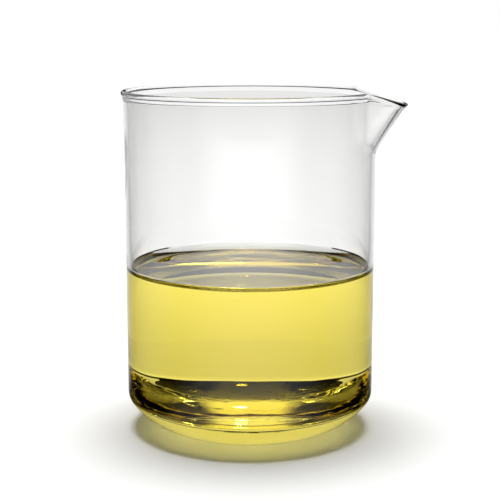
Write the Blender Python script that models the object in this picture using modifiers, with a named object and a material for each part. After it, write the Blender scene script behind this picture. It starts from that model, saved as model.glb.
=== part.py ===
"""A low-form laboratory beaker of the 400 mL size, standing half full of clear yellow oil.

The object is two physical pieces: one blown glass vessel, and the charge of oil that lies in it.
Units are metres, +Z is up, and the origin is the centre of the flat underside on the bench.
The pouring spout points along +X, and the plane y = 0 cuts the spout in half.
"""

import math

import bmesh
import bpy

# ---------------------------------------------------------------- driving dimensions: the vessel
BODY_RADIUS = 0.0400          # outside of the straight wall
HEIGHT = 0.1100               # bench to the top of the rim
WALL = 0.0016                 # side wall
BASE_THICKNESS = 0.0024       # glass under the oil at the centre
KNUCKLE_RADIUS = 0.0050       # the tight upper arc of the heel, where the wall turns in
KNUCKLE_TURN = math.radians(38.0)
UNDERCUT_RADIUS = 0.0250      # the shallow lower arc that sweeps on to the flat underside

MOUTH_FLARE = 0.0004          # how far the wall leans outwards below the lip
MOUTH_FLARE_LENGTH = 0.0200   # length of the leaning stretch
LIP_ROLL = 0.0008             # how far the heated lip rolls out beyond the flare
LIP_LENGTH = 0.0032           # height of the rolled lip
LIP_THICKNESS = 0.0021        # the fire-polished edge is thicker than the wall

SPOUT_REACH = 0.0094          # how far the spout carries the lip outwards
SPOUT_DROP = 0.0041           # how far the same pull lowers the lip
SPOUT_LENGTH = 0.0200         # height of wall that the spout is drawn from
SPOUT_HALF_ANGLE = math.radians(30.0)
SPOUT_ROOT_BLEND = 0.08       # share of the length that rounds the root of the spout

# ---------------------------------------------------------------- driving dimensions: the oil
OIL_LEVEL = 0.0520            # bench to the level surface of the oil
MENISCUS_RISE = 0.0022        # how far the oil climbs where it wets the wall
MENISCUS_LENGTH = 0.0017      # how fast the climb dies away from the wall
OIL_CLEARANCE = 0.0003        # the two meshes keep this gap; real oil touches the glass

# ---------------------------------------------------------------- how finely the curves are cut
STEPS_AROUND = 72
WALL_RINGS = 6
KNUCKLE_RINGS = 4
UNDERCUT_RINGS = 6
EDGE_RINGS = 6
LIP_RINGS = 5
SPOUT_RINGS = 7
MENISCUS_RINGS = 5

MERGE_DISTANCE = 0.00001


def smooth_step(t):
    """Rise from 0 to 1 with level ends."""
    t = min(max(t, 0.0), 1.0)
    return t * t * (3.0 - 2.0 * t)


def arc_points(centre, radius, start_deg, end_deg, rings):
    """Points of an arc in the X-Z plane, both ends included."""
    points = []
    for ring in range(rings + 1):
        angle = math.radians(start_deg + (end_deg - start_deg) * ring / rings)
        points.append((centre[0] + radius * math.cos(angle),
                       centre[1] + radius * math.sin(angle)))
    return points


def heel_points(depth, wall):
    """The heel's outline from the side wall down to the flat, on one skin of the glass.

    The skin lies wall inside the outer side and depth above the bench. Between the two it
    changes evenly with the turn, so the glass thickens smoothly from wall to base.
    """
    quarter = math.radians(90.0)
    knuckle_x = BODY_RADIUS - KNUCKLE_RADIUS
    undercut_x = knuckle_x + (KNUCKLE_RADIUS - UNDERCUT_RADIUS) * math.cos(KNUCKLE_TURN)
    undercut_z = UNDERCUT_RADIUS
    knuckle_z = undercut_z + (KNUCKLE_RADIUS - UNDERCUT_RADIUS) * math.sin(KNUCKLE_TURN)
    points = []
    for start, end, x, z, radius, rings in (
            (0.0, KNUCKLE_TURN, knuckle_x, knuckle_z, KNUCKLE_RADIUS, KNUCKLE_RINGS),
            (KNUCKLE_TURN, quarter, undercut_x, undercut_z, UNDERCUT_RADIUS, UNDERCUT_RINGS)):
        for ring in range(rings):
            turn = start + (end - start) * ring / rings
            skin = radius - (wall + (depth - wall) * turn / quarter)
            points.append((x + skin * math.cos(turn), z - skin * math.sin(turn)))
    return points + [(undercut_x, depth)]


def wall_offset(z):
    """How far the middle of the wall stands outside its straight line at height z."""
    flare_start = HEIGHT - MOUTH_FLARE_LENGTH
    lip_start = HEIGHT - LIP_LENGTH
    flare = MOUTH_FLARE * max(z - flare_start, 0.0) / MOUTH_FLARE_LENGTH
    roll = LIP_ROLL * (max(z - lip_start, 0.0) / LIP_LENGTH) ** 2
    return flare + roll


def half_wall(z):
    """Half the wall's thickness at height z: it grows to the polished lip."""
    growth = smooth_step((z - (HEIGHT - LIP_LENGTH)) / LIP_LENGTH)
    return 0.5 * (WALL + (LIP_THICKNESS - WALL) * growth)


def wall_heights(start_z):
    """Heights of the rings up the wall: wide apart below, close at the spout and the lip."""
    spout_start = HEIGHT - SPOUT_LENGTH
    lip_start = HEIGHT - LIP_LENGTH
    edge = HEIGHT - 0.5 * LIP_THICKNESS
    heights = []
    for low, high, rings in ((start_z, spout_start, WALL_RINGS),
                             (spout_start, lip_start, SPOUT_RINGS),
                             (lip_start, edge, LIP_RINGS)):
        heights += [low + (high - low) * ring / rings for ring in range(rings)]
    return heights + [edge]


def vessel_profile():
    """Outline of the turned glass, from the inner floor over the rim to the underside."""
    middle = BODY_RADIUS - 0.5 * WALL
    outer_heel = heel_points(0.0, 0.0)
    heights = wall_heights(outer_heel[0][1])

    inside = [(0.0, BASE_THICKNESS)] + heel_points(BASE_THICKNESS, WALL)[::-1]
    for z in heights[1:-1]:
        inside.append((middle + wall_offset(z) - half_wall(z), z))

    edge_radius = 0.5 * LIP_THICKNESS
    edge_z = HEIGHT - edge_radius
    edge = arc_points((middle + wall_offset(edge_z), edge_z), edge_radius,
                      180.0, 0.0, EDGE_RINGS)

    outside = []
    for z in reversed(heights[:-1]):
        outside.append((middle + wall_offset(z) + half_wall(z), z))
    return inside + edge + outside + outer_heel[1:] + [(0.0, 0.0)]


def oil_profile():
    """Outline of the oil, from the level surface over the meniscus down to the floor."""
    radius = BODY_RADIUS - WALL - OIL_CLEARANCE
    floor = BASE_THICKNESS + OIL_CLEARANCE
    reach = 4.0 * MENISCUS_LENGTH
    top = [(0.0, OIL_LEVEL)]
    for ring in range(MENISCUS_RINGS + 1):
        gap = reach * (1.0 - ring / MENISCUS_RINGS) ** 2
        climb = math.exp(-gap / MENISCUS_LENGTH) - math.exp(-reach / MENISCUS_LENGTH)
        top.append((radius - gap, OIL_LEVEL + MENISCUS_RISE * climb))
    return top + heel_points(floor, WALL + OIL_CLEARANCE) + [(0.0, floor)]


def turned_mesh(name, profile):
    """Turn an outline about Z with a Screw modifier and return the mesh it gives."""
    outline = bpy.data.meshes.new(name + "_outline")
    outline.from_pydata([(x, 0.0, z) for x, z in profile],
                        [(i, i + 1) for i in range(len(profile) - 1)], [])
    blank = bpy.data.objects.new(name + "_blank", outline)
    bpy.context.scene.collection.objects.link(blank)
    screw = blank.modifiers.new("turn", "SCREW")
    screw.axis = "Z"
    screw.steps = STEPS_AROUND
    screw.render_steps = STEPS_AROUND
    screw.use_merge_vertices = True
    screw.merge_threshold = MERGE_DISTANCE
    depsgraph = bpy.context.evaluated_depsgraph_get()
    mesh = bpy.data.meshes.new_from_object(blank.evaluated_get(depsgraph))
    mesh.name = name
    bpy.data.objects.remove(blank)
    bpy.data.meshes.remove(outline)
    return mesh


def draw_spout(mesh):
    """Pull the lip out and down about +X, as the glassworker's tool does on the hot rim."""
    root_z = HEIGHT - SPOUT_LENGTH
    shape = bmesh.new()
    shape.from_mesh(mesh)
    for vertex in shape.verts:
        angle = math.atan2(vertex.co.y, vertex.co.x)
        climb = (vertex.co.z - root_z) / SPOUT_LENGTH
        if climb <= 0.0 or abs(angle) >= SPOUT_HALF_ANGLE:
            continue
        across = 1.0 - smooth_step(abs(angle) / SPOUT_HALF_ANGLE) ** 2
        lift = climb * climb * (1.0 + SPOUT_ROOT_BLEND) / (climb + SPOUT_ROOT_BLEND)
        vertex.co.x += SPOUT_REACH * across * lift
        vertex.co.z -= SPOUT_DROP * across * lift
    shape.to_mesh(mesh)
    shape.free()


def plain_material(name, colour, roughness, metallic, ior, transmission):
    """A Principled material with the piece's own colour and finish."""
    material = bpy.data.materials.new(name)
    material.use_nodes = True
    shader = material.node_tree.nodes["Principled BSDF"]
    shader.inputs["Base Color"].default_value = (*colour, 1.0)
    shader.inputs["Roughness"].default_value = roughness
    shader.inputs["Metallic"].default_value = metallic
    shader.inputs["IOR"].default_value = ior
    shader.inputs["Transmission Weight"].default_value = transmission
    material.diffuse_color = (*colour, 1.0)
    return material


def add_piece(name, mesh, material, collection, base):
    """Put one finished piece in the object's collection."""
    mesh.materials.append(material)
    mesh.shade_smooth()
    mesh.set_sharp_from_angle(angle=math.radians(40.0))
    piece = bpy.data.objects.new(name, mesh)
    collection.objects.link(piece)
    piece.parent = base
    return piece


def main():
    for old in list(bpy.data.objects):
        bpy.data.objects.remove(old, do_unlink=True)

    collection = bpy.data.collections.new("beaker")
    bpy.context.scene.collection.children.link(collection)
    base = bpy.data.objects.new("bench_centre", None)
    collection.objects.link(base)

    glass = plain_material("borosilicate_glass", (0.93, 0.95, 0.94), 0.02, 0.0, 1.473, 1.0)
    oil = plain_material("yellow_oil", (0.83, 0.72, 0.10), 0.0, 0.0, 1.470, 1.0)

    vessel_mesh = turned_mesh("beaker_glass", vessel_profile())
    draw_spout(vessel_mesh)
    add_piece("beaker_glass", vessel_mesh, glass, collection, base)

    oil_mesh = turned_mesh("oil", oil_profile())
    add_piece("oil", oil_mesh, oil, collection, base)


main()
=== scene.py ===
# %% [markdown]
# # A glass laboratory beaker, half full of yellow oil
#
# The real object is two things: one blown glass vessel, and the oil that lies in it.
# Nearly everything that the eye sees is refraction, so this lesson spends its care on three
# matters: the outlines of the glass, the contact between oil and glass, and what stands
# round the beaker for the glass to show.
#
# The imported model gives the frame: where the glass stands and how tall it is. The finer
# meshes made here stand in the same place.

# %% Load the frame
import math

import bmesh
import bpy
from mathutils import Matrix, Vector


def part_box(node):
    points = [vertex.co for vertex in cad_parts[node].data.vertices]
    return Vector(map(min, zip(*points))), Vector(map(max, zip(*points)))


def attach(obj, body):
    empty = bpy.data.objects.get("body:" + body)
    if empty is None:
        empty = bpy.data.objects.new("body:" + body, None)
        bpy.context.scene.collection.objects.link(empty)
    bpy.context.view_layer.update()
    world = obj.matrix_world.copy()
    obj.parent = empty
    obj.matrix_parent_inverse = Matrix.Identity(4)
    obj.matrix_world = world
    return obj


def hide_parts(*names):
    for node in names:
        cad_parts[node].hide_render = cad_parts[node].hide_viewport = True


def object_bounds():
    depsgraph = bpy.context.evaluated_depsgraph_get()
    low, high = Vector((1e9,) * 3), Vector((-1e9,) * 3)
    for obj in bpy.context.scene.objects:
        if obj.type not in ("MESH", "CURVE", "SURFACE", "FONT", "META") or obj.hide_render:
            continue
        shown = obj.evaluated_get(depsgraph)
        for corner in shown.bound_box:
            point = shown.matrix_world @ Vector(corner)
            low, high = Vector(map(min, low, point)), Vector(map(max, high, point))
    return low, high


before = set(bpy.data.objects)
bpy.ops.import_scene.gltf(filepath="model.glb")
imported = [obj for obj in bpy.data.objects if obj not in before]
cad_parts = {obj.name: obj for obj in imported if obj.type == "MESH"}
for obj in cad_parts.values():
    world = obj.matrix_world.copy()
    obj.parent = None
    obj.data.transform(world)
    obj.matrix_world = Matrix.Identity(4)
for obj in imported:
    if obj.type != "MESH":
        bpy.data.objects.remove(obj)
cad_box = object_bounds()
scene = bpy.context.scene
print("CAD box in metres:", [[round(v, 5) for v in corner] for corner in cad_box])

# %% [markdown]
# ## Sizes
#
# The height is read from the glass solid of the frame. The wall, the base, the corners and
# the spout can't be read from a box, so they are named here in metres, as the glassworks
# would give them for a low-form beaker of the 400 mL size.

# %% Sizes of the glass
glass_low, glass_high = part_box("beaker_glass")

HEIGHT = glass_high.z
BODY_RADIUS = 0.0400
WALL = 0.0016
INNER_RADIUS = BODY_RADIUS - WALL
BASE_THICKNESS = 0.0024
KNUCKLE_RADIUS = 0.0050
KNUCKLE_TURN = math.radians(38.0)
UNDERCUT_RADIUS = 0.0250
MOUTH_FLARE = 0.0004
MOUTH_FLARE_LENGTH = 0.0200
LIP_ROLL = 0.0008
LIP_LENGTH = 0.0032
LIP_THICKNESS = 0.0021

SPOUT_REACH = 0.0094
SPOUT_DROP = 0.0041
SPOUT_LENGTH = 0.0200
SPOUT_HALF_ANGLE = math.radians(30.0)
SPOUT_ROOT_BLEND = 0.08

print(f"height {HEIGHT * 1000:.1f} mm, lip radius {-glass_low.x * 1000:.2f} mm, "
      f"spout tip {glass_high.x * 1000:.2f} mm from the axis")

# %% How finely the curves are cut
STEPS_AROUND = 240
HEEL_RINGS = 24
WALL_RINGS = 24
SPOUT_RINGS = 30
LIP_RINGS = 14
EDGE_RINGS = 24
MERGE_DISTANCE = 0.000002

print(f"one facet of the wall is {2000 * math.pi * BODY_RADIUS / STEPS_AROUND:.2f} mm wide")


# %% [markdown]
# ## Turning the glass
#
# A beaker is blown into a turning mould, so all of it but the spout is a solid of
# revolution. The outline is drawn once, from the middle of the inner floor over the rim to
# the middle of the underside, and a Screw modifier turns it. The points crowd together in
# the corners and in the lip, because a flat facet in glass shows as a bright or dark bar.
#
# The heel is two arcs that meet smoothly: a tight knuckle where the wall turns in, and a
# shallow sweep from there to the flat underside. Bands of light in the foot depend on both.

# %% Arcs and steps
def smooth_step(t):
    """Rise from 0 to 1 with level ends."""
    t = min(max(t, 0.0), 1.0)
    return t * t * (3.0 - 2.0 * t)


def arc_points(centre, radius, start_deg, end_deg, rings):
    """Points of an arc in the X-Z plane, both ends included."""
    points = []
    for ring in range(rings + 1):
        angle = math.radians(start_deg + (end_deg - start_deg) * ring / rings)
        points.append((centre[0] + radius * math.cos(angle),
                       centre[1] + radius * math.sin(angle)))
    return points


# %% The heel
def heel(depth, wall):
    """The heel from the side wall down to the flat, on one skin of the glass.

    The skin lies wall inside the outer side and depth above the bench. Between the two it
    changes evenly with the turn, so the glass thickens smoothly from wall to base.
    """
    quarter = math.radians(90.0)
    knuckle_x = BODY_RADIUS - KNUCKLE_RADIUS
    sweep_x = knuckle_x + (KNUCKLE_RADIUS - UNDERCUT_RADIUS) * math.cos(KNUCKLE_TURN)
    sweep_z = UNDERCUT_RADIUS
    knuckle_z = sweep_z + (KNUCKLE_RADIUS - UNDERCUT_RADIUS) * math.sin(KNUCKLE_TURN)
    points = []
    for start, end, x, z, radius in (
            (0.0, KNUCKLE_TURN, knuckle_x, knuckle_z, KNUCKLE_RADIUS),
            (KNUCKLE_TURN, quarter, sweep_x, sweep_z, UNDERCUT_RADIUS)):
        for ring in range(HEEL_RINGS):
            turn = start + (end - start) * ring / HEEL_RINGS
            skin = radius - (wall + (depth - wall) * turn / quarter)
            points.append((x + skin * math.cos(turn), z - skin * math.sin(turn)))
    return points + [(sweep_x, depth)]


HEEL_TOP = heel(0.0, 0.0)[0][1]
print(f"the heel ends and the straight wall starts {HEEL_TOP * 1000:.2f} mm above the bench")


# %% The wall and the lip
def wall_offset(z):
    """How far the middle of the wall stands outside its straight line at height z."""
    flare = MOUTH_FLARE * max(z - (HEIGHT - MOUTH_FLARE_LENGTH), 0.0) / MOUTH_FLARE_LENGTH
    roll = LIP_ROLL * (max(z - (HEIGHT - LIP_LENGTH), 0.0) / LIP_LENGTH) ** 2
    return flare + roll


def half_wall(z):
    """Half the wall's thickness at height z: it grows to the polished lip."""
    growth = smooth_step((z - (HEIGHT - LIP_LENGTH)) / LIP_LENGTH)
    return 0.5 * (WALL + (LIP_THICKNESS - WALL) * growth)


def wall_heights():
    """Heights of the rings up the wall, close together at the spout and the lip."""
    spout_start = HEIGHT - SPOUT_LENGTH
    lip_start = HEIGHT - LIP_LENGTH
    edge = HEIGHT - 0.5 * LIP_THICKNESS
    heights = []
    for low, high, rings in ((HEEL_TOP, spout_start, WALL_RINGS),
                             (spout_start, lip_start, SPOUT_RINGS),
                             (lip_start, edge, LIP_RINGS)):
        heights += [low + (high - low) * ring / rings for ring in range(rings)]
    return heights + [edge]


print("rings up the wall:", len(wall_heights()))


# %% The outline of the glass
def glass_outline():
    """From the inner floor over the rim to the underside."""
    middle = BODY_RADIUS - 0.5 * WALL
    heights = wall_heights()
    inside = [(0.0, BASE_THICKNESS)] + heel(BASE_THICKNESS, WALL)[::-1]
    for z in heights[1:-1]:
        inside.append((middle + wall_offset(z) - half_wall(z), z))
    edge_radius = 0.5 * LIP_THICKNESS
    edge_z = HEIGHT - edge_radius
    edge = arc_points((middle + wall_offset(edge_z), edge_z), edge_radius,
                      180.0, 0.0, EDGE_RINGS)
    outside = [(middle + wall_offset(z) + half_wall(z), z) for z in reversed(heights[:-1])]
    return inside + edge + outside + heel(0.0, 0.0)[1:] + [(0.0, 0.0)]


# %% Turn an outline
def turned(name, outline):
    """Turn an outline about Z with a Screw modifier and return the mesh it gives."""
    line = bpy.data.meshes.new(name + "_outline")
    line.from_pydata([(x, 0.0, z) for x, z in outline],
                     [(i, i + 1) for i in range(len(outline) - 1)], [])
    blank = bpy.data.objects.new(name + "_blank", line)
    scene.collection.objects.link(blank)
    screw = blank.modifiers.new("turn", "SCREW")
    screw.axis = "Z"
    screw.steps = STEPS_AROUND
    screw.render_steps = STEPS_AROUND
    screw.use_merge_vertices = True
    screw.merge_threshold = MERGE_DISTANCE
    depsgraph = bpy.context.evaluated_depsgraph_get()
    mesh = bpy.data.meshes.new_from_object(blank.evaluated_get(depsgraph))
    mesh.name = name
    bpy.data.objects.remove(blank)
    bpy.data.meshes.remove(line)
    return mesh


glass_mesh = turned("beaker_glass_fine", glass_outline())
print("turned glass:", len(glass_mesh.vertices), "points,", len(glass_mesh.polygons), "faces")


# %% [markdown]
# ## Drawing the spout
#
# On the real beaker the glassworker reheats a few centimetres of the rim and pulls it out
# and down with a graphite tool. The same pull is a smooth move of the points about +X. It
# could be a lattice or a sculpt, but a formula keeps both faces of the wall together.

# %% Pull the spout
def draw_spout(mesh):
    """Move the hot stretch of rim outwards and down, and return how many points moved."""
    root_z = HEIGHT - SPOUT_LENGTH
    shape = bmesh.new()
    shape.from_mesh(mesh)
    moved = 0
    for vertex in shape.verts:
        angle = math.atan2(vertex.co.y, vertex.co.x)
        climb = (vertex.co.z - root_z) / SPOUT_LENGTH
        if climb <= 0.0 or abs(angle) >= SPOUT_HALF_ANGLE:
            continue
        across = 1.0 - smooth_step(abs(angle) / SPOUT_HALF_ANGLE) ** 2
        lift = climb * climb * (1.0 + SPOUT_ROOT_BLEND) / (climb + SPOUT_ROOT_BLEND)
        vertex.co.x += SPOUT_REACH * across * lift
        vertex.co.z -= SPOUT_DROP * across * lift
        moved += 1
    shape.to_mesh(mesh)
    shape.free()
    return moved


print("spout moved", draw_spout(glass_mesh), "points")


# %% [markdown]
# ## The oil
#
# Oil wets clean glass completely, so its surface climbs the wall in a thin skirt, the
# meniscus. The climb dies away over the capillary length, about 1.7 mm for oil. The side of
# the oil mesh stands a hair inside the glass wall, so that no false film of air lies
# between the two.

# %% Sizes of the oil
OIL_LEVEL = 0.0520
MENISCUS_RISE = 0.0022
MENISCUS_LENGTH = 0.0017
MENISCUS_REACH = 6.0 * MENISCUS_LENGTH
MENISCUS_RINGS = 40
WETTING_OVERLAP = 0.00005
SIDE_START = 0.0020
SIDE_STEP = 0.0040
SIDE_RINGS = 8

contact_z = OIL_LEVEL + MENISCUS_RISE
print(f"the oil wets the wall up to {contact_z * 1000:.1f} mm")


# %% The outline of the oil
def oil_outline():
    """From the middle of the level surface over the meniscus to the middle of the floor."""
    radius = INNER_RADIUS + WETTING_OVERLAP
    floor = BASE_THICKNESS - WETTING_OVERLAP
    top = [(0.0, OIL_LEVEL), ((radius - MENISCUS_REACH) * 0.5, OIL_LEVEL)]
    for ring in range(MENISCUS_RINGS + 1):
        gap = MENISCUS_REACH * (1.0 - ring / MENISCUS_RINGS) ** 2
        climb = math.exp(-gap / MENISCUS_LENGTH) - math.exp(-MENISCUS_REACH / MENISCUS_LENGTH)
        top.append((radius - gap, OIL_LEVEL + MENISCUS_RISE * climb))
    side = [(radius, OIL_LEVEL - SIDE_START - SIDE_STEP * ring) for ring in range(SIDE_RINGS)]
    return top + side + heel(floor, WALL - WETTING_OVERLAP) + [(0.0, floor)]


oil_mesh = turned("oil_fine", oil_outline())
print("turned oil:", len(oil_mesh.vertices), "points,", len(oil_mesh.polygons), "faces")


# %% [markdown]
# ## Where oil meets glass
#
# Borosilicate glass bends light by 1.473 and vegetable oil by 1.470. Across the wetted
# contact there is nothing for light to notice, which is why the foot of a filled beaker
# looks like one thick lens. Each face gets a number, 1 where it is wetted and 0 where it
# meets air, and the materials turn the bending off where it is 1.

# %% Mark the wetted faces
FLOOR_MARGIN = 0.0002
FLOOR_LEAST_SLOPE = 0.05
SURFACE_MARGIN = 0.0005


def mark_wetted(mesh, is_wetted):
    """Store the number on the mesh's faces and return how many faces are wetted."""
    layer = mesh.attributes.new("wetted", "FLOAT", "FACE")
    values = [1.0 if is_wetted(face.center, face.normal) else 0.0 for face in mesh.polygons]
    layer.data.foreach_set("value", values)
    return int(sum(values))


def glass_face_is_wetted(centre, normal):
    """The inside of the vessel, up to the contact line."""
    radius = math.hypot(centre.x, centre.y)
    inward = normal.x * centre.x + normal.y * centre.y < 0.0
    on_side = inward and radius < BODY_RADIUS - 0.5 * WALL
    on_floor = (radius < INNER_RADIUS - FLOOR_MARGIN and centre.z > 0.5 * BASE_THICKNESS
                and normal.z > FLOOR_LEAST_SLOPE)
    return centre.z < contact_z and (on_floor or on_side)


def oil_face_is_wetted(centre, normal):
    """All of the oil but its free surface, whichever way the face looks."""
    radius = math.hypot(centre.x, centre.y)
    free = centre.z > OIL_LEVEL - SURFACE_MARGIN and radius < INNER_RADIUS
    return not free


print("wetted faces: glass", mark_wetted(glass_mesh, glass_face_is_wetted),
      "oil", mark_wetted(oil_mesh, oil_face_is_wetted))


# %% [markdown]
# ## The two pieces
#
# On a bench the beaker comes apart into glass and oil and nothing else, so there are two pieces.
# Each one hangs from the frame's root and hides the solid of the imported model that it stands for.

# %% Put the pieces on the frame
def add_piece(name, mesh, node):
    """A finished piece that stands for a CAD node."""
    mesh.shade_smooth()
    piece = bpy.data.objects.new(name, mesh)
    scene.collection.objects.link(piece)
    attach(piece, "root")
    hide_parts(node)
    return piece


glass = add_piece("blown_glass", glass_mesh, "beaker_glass")
oil = add_piece("oil_charge", oil_mesh, "oil")
print("pieces:", glass.name, "and", oil.name)


# %% [markdown]
# ## Materials
#
# Colours are written as sRGB hex values and turned to linear by one function. One small
# helper adds a node with its settings and links, one does a step of arithmetic, and one
# fades smoothly between two values.

# %% Colour and node helpers
def linear(hex_colour, alpha=1.0):
    """An sRGB hex colour as linear RGBA."""
    channels = [int(hex_colour[i:i + 2], 16) / 255.0 for i in (1, 3, 5)]
    return tuple(c / 12.92 if c <= 0.04045 else ((c + 0.055) / 1.055) ** 2.4
                 for c in channels) + (alpha,)


def add_node(tree, kind, settings=None, links=None):
    """Add a node. Settings are attributes or input values, and links are input to socket."""
    node = tree.nodes.new(kind)
    for name, value in (settings or {}).items():
        if name in node.inputs:
            node.inputs[name].default_value = value
        else:
            setattr(node, name, value)
    for name, socket in (links or {}).items():
        tree.links.new(socket, node.inputs[name])
    return node


def maths(tree, operation, first, second=0.0):
    """One step of arithmetic on sockets or numbers."""
    step = add_node(tree, "ShaderNodeMath", {"operation": operation})
    for socket, value in zip(step.inputs, (first, second)):
        if isinstance(value, (int, float)):
            socket.default_value = value
        else:
            tree.links.new(value, socket)
    return step.outputs["Value"]


def between(tree, value, low, high, start=0.0, end=1.0):
    """Go smoothly from start to end while the value goes from low to high."""
    node = add_node(tree, "ShaderNodeMapRange",
                    {"interpolation_type": "SMOOTHSTEP", "From Min": low, "From Max": high,
                     "To Min": start, "To Max": end}, {"Value": value})
    return node.outputs["Result"]


def new_material(name):
    """An empty material with its output node."""
    material = bpy.data.materials.new(name)
    material.use_nodes = True
    material.node_tree.nodes.clear()
    return material, material.node_tree, add_node(material.node_tree, "ShaderNodeOutputMaterial")


print("white in linear light:", linear("#ffffff"))


# %% [markdown]
# ## Blown borosilicate glass
#
# The real one is clear borosilicate, blown in a mould and fire-polished, so it has no
# grain and no tint, and its surface only waves a little. Two noises give that wave: a slow
# ripple of about 17 mm all over, and a chill four times as fine in the heel, where the
# glass first touched the mould. Both are bumps and not shapes, since they are far thinner
# than the wall. The bending is a number per face, so that it stops at wetted faces.

# %% Blown borosilicate glass
GLASS_IOR = 1.473
NO_BENDING = 1.0
RIPPLE_MM = 50.0 / 3.0
CHILL_MM = RIPPLE_MM / 4.0
CHILL_SHARE = 0.9
CHILL_FULL = 0.006
CHILL_GONE = 0.013
BUMP_STRENGTH = 0.25
BUMP_DISTANCE = 0.0004


def bending_of(tree, ior):
    """The material's own index where the face meets air, and none where it is wetted."""
    wetted = add_node(tree, "ShaderNodeAttribute", {"attribute_name": "wetted"})
    bending = add_node(tree, "ShaderNodeMapRange",
                       {"From Min": 0.0, "From Max": 1.0, "To Min": ior, "To Max": NO_BENDING},
                       {"Value": wetted.outputs["Fac"]})
    return bending.outputs["Result"]


def blown_glass():
    """Clear borosilicate, blown and fire-polished: slow ripples, and a finer chill in the heel."""
    material, tree, output = new_material("blown_borosilicate_glass")
    place = add_node(tree, "ShaderNodeTexCoord")
    ripple = add_node(tree, "ShaderNodeTexNoise", {"Scale": 1000.0 / RIPPLE_MM, "Detail": 1.0},
                      {"Vector": place.outputs["Object"]})
    chill = add_node(tree, "ShaderNodeTexNoise", {"Scale": 1000.0 / CHILL_MM, "Detail": 2.0},
                     {"Vector": place.outputs["Object"]})
    axes = add_node(tree, "ShaderNodeSeparateXYZ", None, {"Vector": place.outputs["Object"]})
    low = between(tree, axes.outputs["Z"], CHILL_FULL, CHILL_GONE, 1.0, 0.0)
    chilled = maths(tree, "MULTIPLY", chill.outputs["Fac"], low)
    chilled = maths(tree, "MULTIPLY", chilled, CHILL_SHARE)
    uneven = maths(tree, "ADD", ripple.outputs["Fac"], chilled)
    bump = add_node(tree, "ShaderNodeBump",
                    {"Strength": BUMP_STRENGTH, "Distance": BUMP_DISTANCE}, {"Height": uneven})
    shader = add_node(tree, "ShaderNodeBsdfPrincipled",
                      {"Base Color": linear("#ffffff"), "Roughness": 0.0, "IOR": GLASS_IOR,
                       "Transmission Weight": 1.0},
                      {"IOR": bending_of(tree, GLASS_IOR), "Normal": bump.outputs["Normal"]})
    tree.links.new(shader.outputs["BSDF"], output.inputs["Surface"])
    return material


glass.data.materials.append(blown_glass())
print(f"glass: ripple {RIPPLE_MM:.1f} mm, chill {CHILL_MM:.1f} mm below "
      f"{CHILL_GONE * 1000:.0f} mm")


# %% [markdown]
# ## Yellow oil
#
# The real one is clear vegetable oil. It has no colour at its skin: the yellow grows with
# the depth that light has come through, so the edges of the meniscus are pale and the
# middle is deep. A tinted surface would give both the same colour, so the colour is an
# absorbing volume behind a clear skin.

# %% Yellow oil
OIL_IOR = 1.470
OIL_COLOUR = "#fcf350"
OIL_DENSITY = 30.0


def yellow_oil():
    """Clear vegetable oil: the colour is all in its depth."""
    material, tree, output = new_material("clear_yellow_vegetable_oil")
    shader = add_node(tree, "ShaderNodeBsdfPrincipled",
                      {"Base Color": linear("#ffffff"), "Roughness": 0.0, "IOR": OIL_IOR,
                       "Transmission Weight": 1.0}, {"IOR": bending_of(tree, OIL_IOR)})
    depth = add_node(tree, "ShaderNodeVolumeAbsorption",
                     {"Color": linear(OIL_COLOUR), "Density": OIL_DENSITY})
    tree.links.new(shader.outputs["BSDF"], output.inputs["Surface"])
    tree.links.new(depth.outputs["Volume"], output.inputs["Volume"])
    return material


oil.data.materials.append(yellow_oil())
blue_loss = (1.0 - linear(OIL_COLOUR)[2]) * OIL_DENSITY
print(f"oil: blue light falls to about a third in {1000 / blue_loss:.0f} mm")


# %% [markdown]
# ## The studio
#
# Clear glass has no look of its own, so a studio is built round it: a white table, one soft
# light overhead, a white screen behind, a pale ceiling in front and dark everywhere else.
# One set of real lamps and cards can hardly keep the floor plain and pale and also draw
# dark lines in the glass. So the table and the sky ask what the light has done: whether it
# has been mirrored, and how many faces of glass and oil it has crossed. Only the stage
# asks. The glass and the oil are the same for every ray.
#
# Light that goes straight through the empty cup crosses four faces: two walls, two faces
# each. Seen through the oil it crosses six or more. Light on its way down on to the table
# crosses two faces of one wall, or about four on its way through the oil.

# %% What the light has done
ONCE = 0.5
ONE_WALL = 2.5
TWO_WALLS = 4.5


def more_than(tree, path, kind, count):
    """1 where the light has been mirrored, passed on or scattered more often than count."""
    return maths(tree, "GREATER_THAN", path.outputs[kind + " Depth"], count)


def less_than(tree, path, kind, count):
    """1 where the light has been mirrored, passed on or scattered less often than count."""
    return maths(tree, "LESS_THAN", path.outputs[kind + " Depth"], count)


print("faces crossed: over", ONE_WALL, "is past one wall, over", TWO_WALLS, "is past two")


# %% [markdown]
# ## The table top
#
# The table is matte white paper. Light that the glass has mirrored finds the paper only in
# a fan that runs away from the beaker, and black on both sides of it, so the middle of the
# cup is bright and its sides draw grey lines. Light that has come through the oil finds
# some shade at the sides and close behind the foot, where the beaker keeps light off the
# paper. A second, shaped sheet of paper would do the same, but it would show.

# %% The table top
FAN_ROOT = 0.02
FAN_INNER = 0.05
FAN_OUTER = 1.40
FAN_LEAST_DARK = 0.10
FRONT = (-1.5, -0.30)
FRONT_DARK = 0.95
SIDE_SHADE_SLOPES = (0.3, 1.4)
SIDE_SHADE = 0.40
OWN_SHADE_REACH = (0.06, 0.24)
OWN_SHADE = 0.32
FAR_REACH = (0.40, 1.60)
FAR_SHADE = 0.17


def shade_for_mirrored(tree, path, aside, y):
    """Dark outside the fan and far in front, for mirrored light."""
    off_fan = between(tree, aside, FAN_INNER, FAN_OUTER, FAN_LEAST_DARK, 1.0)
    in_front = between(tree, y, *FRONT, FRONT_DARK, 0.0)
    return maths(tree, "MULTIPLY", more_than(tree, path, "Glossy", ONCE),
                 maths(tree, "MAXIMUM", off_fan, in_front))


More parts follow.
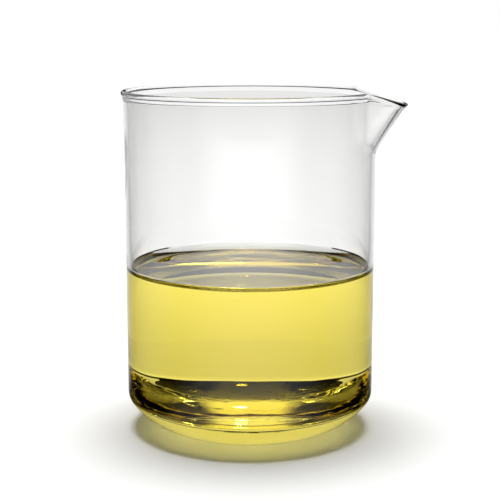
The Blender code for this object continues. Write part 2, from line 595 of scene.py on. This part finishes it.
def shade_through_oil(tree, path, aside, y):
    """Some shade at the sides and close behind the foot, for light through the oil."""
    side_shade = between(tree, aside, *SIDE_SHADE_SLOPES, 0.0, SIDE_SHADE)
    own_shade = between(tree, y, *OWN_SHADE_REACH, OWN_SHADE, 0.0)
    return maths(tree, "MULTIPLY", more_than(tree, path, "Transmission", TWO_WALLS),
                 maths(tree, "MAXIMUM", side_shade, own_shade))


def shade_far_behind(tree, path, y):
    """A little shade far behind, for any light through the glass."""
    return maths(tree, "MULTIPLY", more_than(tree, path, "Transmission", ONCE),
                 between(tree, y, *FAR_REACH, 0.0, FAR_SHADE))


def table_material():
    """Matte white paper for the eye, shaded only for light that the glass has turned."""
    material, tree, output = new_material("matte_white_paper")
    place = add_node(tree, "ShaderNodeTexCoord")
    axes = add_node(tree, "ShaderNodeSeparateXYZ", None, {"Vector": place.outputs["Object"]})
    path = add_node(tree, "ShaderNodeLightPath")
    y = axes.outputs["Y"]
    across = maths(tree, "ABSOLUTE", axes.outputs["X"])
    along = maths(tree, "ADD", maths(tree, "ABSOLUTE", y), FAN_ROOT)
    aside = maths(tree, "DIVIDE", across, along)
    dark = maths(tree, "MAXIMUM", shade_for_mirrored(tree, path, aside, y),
                 shade_through_oil(tree, path, aside, y))
    dark = maths(tree, "MAXIMUM", dark, shade_far_behind(tree, path, y))
    paper = add_node(tree, "ShaderNodeBsdfDiffuse", {"Color": linear("#f8f8f7"), "Roughness": 0.5})
    black = add_node(tree, "ShaderNodeBsdfDiffuse", {"Color": linear("#141414")})
    shader = add_node(tree, "ShaderNodeMixShader")
    tree.links.new(dark, shader.inputs[0])
    tree.links.new(paper.outputs["BSDF"], shader.inputs[1])
    tree.links.new(black.outputs["BSDF"], shader.inputs[2])
    tree.links.new(shader.outputs["Shader"], output.inputs["Surface"])
    return material


# %% Table
TABLE_HALF_SIZE = 8.0
TABLE_DROP = 0.0002
TABLE_Z = cad_box[0].z - TABLE_DROP


def on_stage(name, shape, material, z):
    """Something that stands in the studio and is no part of the beaker."""
    mesh = bpy.data.meshes.new(name)
    shape.to_mesh(mesh)
    shape.free()
    mesh.materials.append(material)
    prop = bpy.data.objects.new(name, mesh)
    prop.location.z = z
    scene.collection.objects.link(prop)
    return prop


def table():
    """A flat sheet that runs far enough to meet the horizon."""
    shape = bmesh.new()
    bmesh.ops.create_grid(shape, x_segments=1, y_segments=1, size=TABLE_HALF_SIZE)
    return on_stage("table", shape, table_material(), TABLE_Z)


sheet = table()
print(f"{sheet.name}: {2 * TABLE_HALF_SIZE:.0f} m square, {TABLE_DROP * 1000:.1f} mm below the foot")


# %% [markdown]
# ## The black card
#
# The foot of a filled beaker has a dark band. The knuckle turns the view there out behind
# the foot and a little upwards, to whatever dark thing stands low behind it. Here that is a
# low band of black card round the foot. Only light that has come through the glass meets
# it, so it casts no shadow and is never seen itself.

# %% The black card round the foot
CARD_RADIUS = 0.0415
CARD_TOP = 0.0103
CARD_LIFT = 0.0001
CARD_SIDES = 96


def black_card():
    """A low band of matte black card, met only by light that has come through the glass."""
    material, tree, output = new_material("matte_black_card")
    black = add_node(tree, "ShaderNodeBsdfDiffuse", {"Color": linear("#0c0b08")})
    tree.links.new(black.outputs["BSDF"], output.inputs["Surface"])
    shape = bmesh.new()
    low = TABLE_Z + CARD_LIFT
    bmesh.ops.create_circle(shape, cap_ends=False, segments=CARD_SIDES, radius=CARD_RADIUS)
    rim = bmesh.ops.extrude_edge_only(shape, edges=shape.edges[:])["geom"]
    for item in rim:
        if isinstance(item, bmesh.types.BMVert):
            item.co.z = CARD_TOP - low
    card = on_stage("black_card", shape, material, low)
    card.visible_camera = False
    card.visible_diffuse = False
    card.visible_glossy = False
    card.visible_shadow = False
    return card


foot_card = black_card()
print(f"{foot_card.name}: {CARD_RADIUS * 1000:.1f} mm from the axis, "
      f"up to {CARD_TOP * 1000:.1f} mm")


# %% [markdown]
# ## Who looks at the sky
#
# Three kinds of ray reach the sky. The eye, straight or low through the empty cup, is shown
# white. Every other view through the glass or the oil is shown the room. The table is lit
# by the strong overhead light, and much less where that light came down through the oil,
# which darkens the oil's shadow.

# %% Who looks at the sky
def onlooker(tree):
    """What the sky's parts ask about each ray, as named sockets."""
    direction = add_node(tree, "ShaderNodeTexCoord")
    axes = add_node(tree, "ShaderNodeSeparateXYZ", None,
                    {"Vector": direction.outputs["Generated"]})
    path = add_node(tree, "ShaderNodeLightPath")
    from_table = more_than(tree, path, "Diffuse", ONCE)
    turned_ray = maths(tree, "MAXIMUM", path.outputs["Is Glossy Ray"],
                       path.outputs["Is Transmission Ray"])
    let_down = maths(tree, "MULTIPLY", path.outputs["Is Transmission Ray"], from_table)
    return {
        "direction": direction.outputs["Generated"],
        "height": axes.outputs["Z"],
        "behind": axes.outputs["Y"],
        "sideways": maths(tree, "ABSOLUTE", axes.outputs["X"]),
        "path": path,
        "in_glass": maths(tree, "MULTIPLY", turned_ray,
                          maths(tree, "SUBTRACT", 1.0, from_table)),
        "let_down": maths(tree, "MULTIPLY", let_down,
                          more_than(tree, path, "Transmission", ONE_WALL)),
        "through_oil": more_than(tree, path, "Transmission", TWO_WALLS),
        "mirrored": more_than(tree, path, "Glossy", ONCE),
    }


def facing(tree, direction, target):
    """The cosine between a ray's direction and a target direction of length 1."""
    node = add_node(tree, "ShaderNodeVectorMath", {"operation": "DOT_PRODUCT"})
    tree.links.new(direction, node.inputs[0])
    node.inputs[1].default_value = target
    return node.outputs["Value"]


# %% [markdown]
# ## The overhead light
#
# One soft light a little behind straight up lights the table and gives the short shadow.
# The glass mirrors the same light from within near its critical angle, and at full strength
# that burns out the foot, so the light is plain white for rays that the glass shows.

# %% The overhead light
OVERHEAD = 17.5
OVERHEAD_TILT = math.radians(5.0)
OVERHEAD_EDGE = (0.955, 0.975)
SEEN_OVERHEAD = 1.0
SEEN_OVERHEAD_EDGE = (0.90, 0.93)
LET_DOWN = 0.12


def overhead_light(tree, ray):
    """The soft light for the table, and a dimmer one of the same place for the glass."""
    target = (0.0, math.sin(OVERHEAD_TILT), math.cos(OVERHEAD_TILT))
    patch = between(tree, facing(tree, ray["direction"], target), *OVERHEAD_EDGE)
    power = between(tree, ray["let_down"], 0.0, 1.0, OVERHEAD, LET_DOWN * OVERHEAD)
    power = maths(tree, "MULTIPLY", power, maths(tree, "SUBTRACT", 1.0, ray["in_glass"]))
    shown = between(tree, ray["height"], *SEEN_OVERHEAD_EDGE)
    shown = maths(tree, "MULTIPLY", maths(tree, "MULTIPLY", shown, ray["in_glass"]),
                  SEEN_OVERHEAD)
    return maths(tree, "ADD", maths(tree, "MULTIPLY", patch, power), shown)


print(f"overhead light: {2 * math.degrees(math.acos(OVERHEAD_EDGE[0])):.0f} degrees across")


# %% [markdown]
# ## Screen, ceiling and lamp
#
# The bright ring in the foot is the white screen behind, seen low through glass and oil.
# The golden middle of the foot is the ceiling in front, thrown up and back by the heel. The
# small glints are one bare lamp high in front. Each is a patch of sky with soft edges,
# since a patch has no back to hide and no stand to show.

# %% Screen, ceiling and lamp
SCREEN = 0.85
SCREEN_FOOT = (0.085, 0.12)
SCREEN_HEAD = (0.50, 0.62)
SCREEN_SIDE = (-0.1, 0.3)
SCREEN_LET_DOWN = 0.25
CEILING = 1.15
CEILING_EDGE = (0.22, 0.32)
CEILING_BACK = (0.1, 0.35)
CEILING_SIDE = (0.25, 0.45)
LAMP = 30.0
LAMP_DIRECTION = (0.08, -0.55, 0.83)
LAMP_HALF_ANGLE = math.radians(3.0)
LAMP_SOFT_EDGE = 1.3


def rear_screen(tree, ray):
    """A band of white behind, for light through the oil, mirrored light and the table."""
    screen = maths(tree, "MULTIPLY", between(tree, ray["height"], *SCREEN_FOOT, 0.0, SCREEN),
                   between(tree, ray["height"], *SCREEN_HEAD, 1.0, 0.0))
    screen = maths(tree, "MULTIPLY", screen, between(tree, ray["behind"], *SCREEN_SIDE))
    shown = maths(tree, "MAXIMUM", ray["through_oil"], ray["mirrored"])
    shown = maths(tree, "MAXIMUM", shown, maths(tree, "SUBTRACT", 1.0, ray["in_glass"]))
    screen = maths(tree, "MULTIPLY", screen, shown)
    return maths(tree, "MULTIPLY", screen,
                 between(tree, ray["let_down"], 0.0, 1.0, 1.0, SCREEN_LET_DOWN))


def front_ceiling(tree, ray):
    """A pale ceiling from in front to overhead, only for light seen through the oil."""
    ceiling = maths(tree, "MULTIPLY", between(tree, ray["height"], *CEILING_EDGE, 0.0, CEILING),
                    between(tree, ray["behind"], *CEILING_BACK, 1.0, 0.0))
    ceiling = maths(tree, "MULTIPLY", ceiling,
                    between(tree, ray["sideways"], *CEILING_SIDE, 1.0, 0.0))
    return maths(tree, "MULTIPLY", ceiling,
                 maths(tree, "MULTIPLY", ray["through_oil"], ray["in_glass"]))


def bare_lamp(tree, ray):
    """One small strong lamp high in front, only for light seen in the glass."""
    target = Vector(LAMP_DIRECTION).normalized()
    lamp = between(tree, facing(tree, ray["direction"], target),
                   math.cos(LAMP_SOFT_EDGE * LAMP_HALF_ANGLE), math.cos(LAMP_HALF_ANGLE),
                   0.0, LAMP)
    return maths(tree, "MULTIPLY", lamp, ray["in_glass"])


# %% [markdown]
# ## The room
#
# The brightest of the lights wins in each direction, and a dim room fills the rest. The eye
# that looks past the beaker, or low through the empty cup, sees plain white, as a cut-out
# product shot has.

# %% The room
ROOM = 0.03
WHITE_HEAD = (0.09, 0.15)


def plain_white(tree, ray):
    """1 for the eye, and for light that has only gone low and straight through the cup."""
    clear = less_than(tree, ray["path"], "Glossy", ONCE)
    for kind, count in (("Transmission", TWO_WALLS), ("Diffuse", ONCE)):
        clear = maths(tree, "MULTIPLY", clear, less_than(tree, ray["path"], kind, count))
    clear = maths(tree, "MULTIPLY", clear, ray["path"].outputs["Is Transmission Ray"])
    clear = maths(tree, "MULTIPLY", clear, between(tree, ray["height"], *WHITE_HEAD, 1.0, 0.0))
    return maths(tree, "MAXIMUM", clear, ray["path"].outputs["Is Camera Ray"])


def studio_sky():
    """The room as the glass sees it, and plain white where the eye looks straight past."""
    world = bpy.data.worlds.new("studio")
    world.use_nodes = True
    tree = world.node_tree
    tree.nodes.clear()
    ray = onlooker(tree)
    light = maths(tree, "MAXIMUM", overhead_light(tree, ray), front_ceiling(tree, ray))
    light = maths(tree, "MAXIMUM", light, bare_lamp(tree, ray))
    light = maths(tree, "MAXIMUM", light, maths(tree, "ADD", rear_screen(tree, ray), ROOM))
    room = add_node(tree, "ShaderNodeBackground", {"Color": (1.0, 1.0, 1.0, 1.0)},
                    {"Strength": light})
    white = add_node(tree, "ShaderNodeBackground", {"Color": (1.0, 1.0, 1.0, 1.0)})
    mix = add_node(tree, "ShaderNodeMixShader")
    tree.links.new(plain_white(tree, ray), mix.inputs[0])
    tree.links.new(room.outputs["Background"], mix.inputs[1])
    tree.links.new(white.outputs["Background"], mix.inputs[2])
    add_node(tree, "ShaderNodeOutputWorld", None, {"Surface": mix.outputs["Shader"]})
    scene.world = world
    return world


sky = studio_sky()
print("sky:", len(sky.node_tree.nodes), "nodes")


# %% [markdown]
# ## Camera
#
# A long lens, a little above the rim and tipped down, keeps the walls nearly upright while
# the oil's surface still shows as an open ellipse.

# %% Camera
LENS_MM = 94.15
CAMERA_PLACE = (0.0, -0.4171, 0.1359)
CAMERA_DIP = math.radians(10.54)

camera_data = bpy.data.cameras.new("camera")
camera_data.lens = LENS_MM
camera_data.sensor_width = 36.0
camera_data.clip_start = 0.01
camera_data.clip_end = 50.0
camera = bpy.data.objects.new("camera", camera_data)
camera.location = CAMERA_PLACE
camera.rotation_euler = (math.radians(90.0) - CAMERA_DIP, 0.0, 0.0)
scene.collection.objects.link(camera)
scene.camera = camera
print(f"camera: {LENS_MM:.0f} mm lens, {-CAMERA_PLACE[1] * 1000:.0f} mm from the axis")

# %% [markdown]
# ## Light paths
#
# Light in the foot crosses many faces before it leaves, and a path cut short is a black
# speck, so the paths are long. The clamp keeps a rare, very bright path from leaving a
# white dot.

# %% Light paths
scene.view_settings.view_transform = "Standard"
scene.cycles.use_denoising = True
scene.cycles.max_bounces = 32
scene.cycles.transmission_bounces = 32
scene.cycles.glossy_bounces = 16
scene.cycles.diffuse_bounces = 4
scene.cycles.volume_bounces = 0
scene.cycles.sample_clamp_indirect = 16.0
print("longest path:", scene.cycles.max_bounces, "turns")

# %% [markdown]
# ## Last update
#
# The view layer is brought up to date once more, after all the pieces are made.

# %% Update the view layer
bpy.context.view_layer.update()
